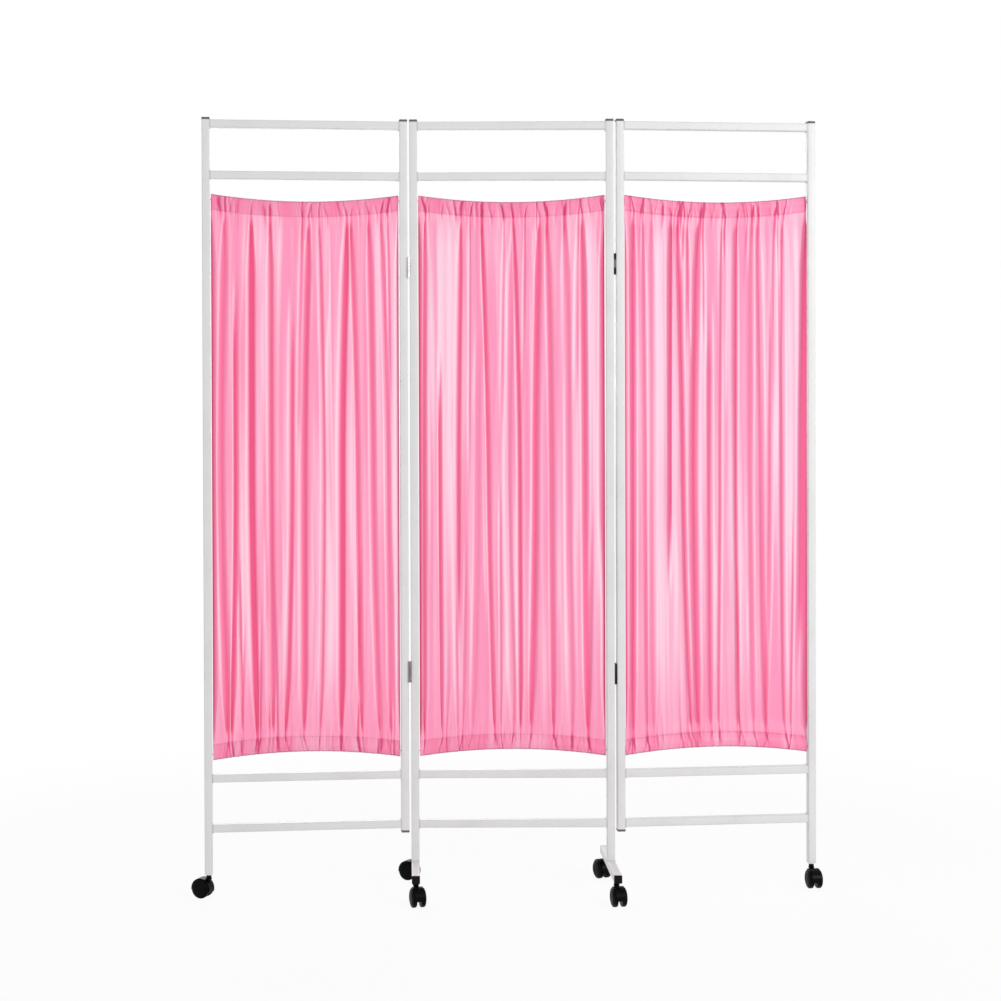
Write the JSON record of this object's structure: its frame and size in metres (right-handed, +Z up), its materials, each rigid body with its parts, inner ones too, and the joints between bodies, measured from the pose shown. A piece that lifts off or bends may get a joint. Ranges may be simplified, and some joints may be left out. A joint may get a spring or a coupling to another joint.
{
  "type": "ward privacy screen",
  "caption": "Folding ward privacy screen: white square-tube panels with gathered pink curtains, hinged side panels, T-shaped feet and hooded swivel casters.",
  "frame": {"origin": "middle of the footprint on the floor, with the side panels as in the picture", "axes": "+X along the centre panel to the viewer's right, -Y the front, +Z up"},
  "size_m": [1.5196, 0.3086, 1.8568],
  "materials": {
    "frame_paint": "satin white powder coat",
    "curtain_fabric": "pink polyester satin",
    "end_cap_plastic": "black moulded",
    "housing_plastic": "black moulded, slightly glossy",
    "wheel_nylon": "black nylon",
    "hinge_steel": "dark plated",
    "wire_steel": "white coated spring wire",
    "stem_steel": "zinc plated"
  },
  "bodies": {
    "centre_panel": {"centre_frame": "frame_paint", "centre_foot_left": "frame_paint", "centre_foot_right": "frame_paint", "centre_curtain": "curtain_fabric", "centre_wire_top": "wire_steel", "centre_wire_bottom": "wire_steel", "centre_cap_left": "end_cap_plastic", "centre_cap_right": "end_cap_plastic", "foot_plug_left_front": "end_cap_plastic", "foot_plug_left_rear": "end_cap_plastic", "foot_plug_right_front": "end_cap_plastic", "foot_plug_right_rear": "end_cap_plastic", "hinge_left_upper_pin_leaf": "hinge_steel", "hinge_left_lower_pin_leaf": "hinge_steel", "hinge_right_upper_pin_leaf": "hinge_steel", "hinge_right_lower_pin_leaf": "hinge_steel", "caster_left_front_stem": "stem_steel", "caster_left_rear_stem": "stem_steel", "caster_right_front_stem": "stem_steel", "caster_right_rear_stem": "stem_steel"},
    "left_wing": {"left_frame": "frame_paint", "left_curtain": "curtain_fabric", "left_wire_top": "wire_steel", "left_wire_bottom": "wire_steel", "left_cap_left": "end_cap_plastic", "left_cap_right": "end_cap_plastic", "left_cap_low": "end_cap_plastic", "hinge_left_upper_wing_leaf": "hinge_steel", "hinge_left_lower_wing_leaf": "hinge_steel", "caster_left_stem": "stem_steel"},
    "right_wing": {"right_frame": "frame_paint", "right_curtain": "curtain_fabric", "right_wire_top": "wire_steel", "right_wire_bottom": "wire_steel", "right_cap_left": "end_cap_plastic", "right_cap_right": "end_cap_plastic", "right_cap_low": "end_cap_plastic", "hinge_right_upper_wing_leaf": "hinge_steel", "hinge_right_lower_wing_leaf": "hinge_steel", "caster_right_stem": "stem_steel"},
    "caster_left_front_swivel": {"caster_left_front_housing": "housing_plastic"},
    "caster_left_front_wheel_a_roll": {"caster_left_front_wheel_a": "wheel_nylon"},
    "caster_left_front_wheel_b_roll": {"caster_left_front_wheel_b": "wheel_nylon"},
    "caster_left_rear_swivel": {"caster_left_rear_housing": "housing_plastic"},
    "caster_left_rear_wheel_a_roll": {"caster_left_rear_wheel_a": "wheel_nylon"},
    "caster_left_rear_wheel_b_roll": {"caster_left_rear_wheel_b": "wheel_nylon"},
    "caster_right_front_swivel": {"caster_right_front_housing": "housing_plastic"},
    "caster_right_front_wheel_a_roll": {"caster_right_front_wheel_a": "wheel_nylon"},
    "caster_right_front_wheel_b_roll": {"caster_right_front_wheel_b": "wheel_nylon"},
    "caster_right_rear_swivel": {"caster_right_rear_housing": "housing_plastic"},
    "caster_right_rear_wheel_a_roll": {"caster_right_rear_wheel_a": "wheel_nylon"},
    "caster_right_rear_wheel_b_roll": {"caster_right_rear_wheel_b": "wheel_nylon"},
    "caster_left_swivel": {"caster_left_housing": "housing_plastic"},
    "caster_left_wheel_a_roll": {"caster_left_wheel_a": "wheel_nylon"},
    "caster_left_wheel_b_roll": {"caster_left_wheel_b": "wheel_nylon"},
    "caster_right_swivel": {"caster_right_housing": "housing_plastic"},
    "caster_right_wheel_a_roll": {"caster_right_wheel_a": "wheel_nylon"},
    "caster_right_wheel_b_roll": {"caster_right_wheel_b": "wheel_nylon"}
  },
  "joints": [
    {"name": "left_fold", "type": "hinge", "parent": "centre_panel", "child": "left_wing", "pos_m": [-0.23605, -0.01224, 1.0175], "axis": [0, 0, 1], "range_deg": [-5.3, 144.7]},
    {"name": "right_fold", "type": "hinge", "parent": "centre_panel", "child": "right_wing", "pos_m": [0.25745, 0.01216, 1.0175], "axis": [0, 0, 1], "range_deg": [-5.3, 144.7]},
    {"name": "caster_left_front_swivel_turn", "type": "hinge", "parent": "centre_panel", "child": "caster_left_front_swivel", "pos_m": [-0.2243, -0.11104, 0.045], "axis": [0, 0, 1], "continuous": true},
    {"name": "caster_left_front_wheel_a_spin", "type": "hinge", "parent": "caster_left_front_swivel", "child": "caster_left_front_wheel_a_roll", "pos_m": [-0.22018, -0.12753, 0.0225], "axis": [0.9703, 0.2419, 0], "continuous": true},
    {"name": "caster_left_front_wheel_b_spin", "type": "hinge", "parent": "caster_left_front_swivel", "child": "caster_left_front_wheel_b_roll", "pos_m": [-0.22018, -0.12753, 0.0225], "axis": [0.9703, 0.2419, 0], "continuous": true},
    {"name": "caster_left_rear_swivel_turn", "type": "hinge", "parent": "centre_panel", "child": "caster_left_rear_swivel", "pos_m": [-0.2243, 0.11096, 0.045], "axis": [0, 0, 1], "continuous": true},
    {"name": "caster_left_rear_wheel_a_spin", "type": "hinge", "parent": "caster_left_rear_swivel", "child": "caster_left_rear_wheel_a_roll", "pos_m": [-0.23902, 0.11946, 0.0225], "axis": [-0.5, -0.866, 0], "continuous": true},
    {"name": "caster_left_rear_wheel_b_spin", "type": "hinge", "parent": "caster_left_rear_swivel", "child": "caster_left_rear_wheel_b_roll", "pos_m": [-0.23902, 0.11946, 0.0225], "axis": [-0.5, -0.866, 0], "continuous": true},
    {"name": "caster_right_front_swivel_turn", "type": "hinge", "parent": "centre_panel", "child": "caster_right_front_swivel", "pos_m": [0.2457, -0.11104, 0.045], "axis": [0, 0, 1], "continuous": true},
    {"name": "caster_right_front_wheel_a_spin", "type": "hinge", "parent": "caster_right_front_swivel", "child": "caster_right_front_wheel_a_roll", "pos_m": [0.24836, -0.12783, 0.0225], "axis": [0.9877, 0.1564, 0], "continuous": true},
    {"name": "caster_right_front_wheel_b_spin", "type": "hinge", "parent": "caster_right_front_swivel", "child": "caster_right_front_wheel_b_roll", "pos_m": [0.24836, -0.12783, 0.0225], "axis": [0.9877, 0.1564, 0], "continuous": true},
    {"name": "caster_right_rear_swivel_turn", "type": "hinge", "parent": "centre_panel", "child": "caster_right_rear_swivel", "pos_m": [0.2457, 0.11096, 0.045], "axis": [0, 0, 1], "continuous": true},
    {"name": "caster_right_rear_wheel_a_spin", "type": "hinge", "parent": "caster_right_rear_swivel", "child": "caster_right_rear_wheel_a_roll", "pos_m": [0.23906, 0.12661, 0.0225], "axis": [-0.9205, -0.3907, 0], "continuous": true},
    {"name": "caster_right_rear_wheel_b_spin", "type": "hinge", "parent": "caster_right_rear_swivel", "child": "caster_right_rear_wheel_b_roll", "pos_m": [0.23906, 0.12661, 0.0225], "axis": [-0.9205, -0.3907, 0], "continuous": true},
    {"name": "caster_left_swivel_turn", "type": "hinge", "parent": "left_wing", "child": "caster_left_swivel", "pos_m": [-0.71686, -0.04459, 0.045], "axis": [0, 0, 1], "continuous": true},
    {"name": "caster_left_wheel_a_spin", "type": "hinge", "parent": "caster_left_swivel", "child": "caster_left_wheel_a_roll", "pos_m": [-0.73239, -0.03768, 0.0225], "axis": [-0.4067, -0.9135, 0], "continuous": true},
    {"name": "caster_left_wheel_b_spin", "type": "hinge", "parent": "caster_left_swivel", "child": "caster_left_wheel_b_roll", "pos_m": [-0.73239, -0.03768, 0.0225], "axis": [-0.4067, -0.9135, 0], "continuous": true},
    {"name": "caster_right_swivel_turn", "type": "hinge", "parent": "right_wing", "child": "caster_right_swivel", "pos_m": [0.73827, 0.04451, 0.045], "axis": [0, 0, 1], "continuous": true},
    {"name": "caster_right_wheel_a_spin", "type": "hinge", "parent": "caster_right_swivel", "child": "caster_right_wheel_a_roll", "pos_m": [0.74034, 0.02764, 0.0225], "axis": [0.9925, 0.1219, 0], "continuous": true},
    {"name": "caster_right_wheel_b_spin", "type": "hinge", "parent": "caster_right_swivel", "child": "caster_right_wheel_b_roll", "pos_m": [0.74034, 0.02764, 0.0225], "axis": [0.9925, 0.1219, 0], "continuous": true}
  ]
}
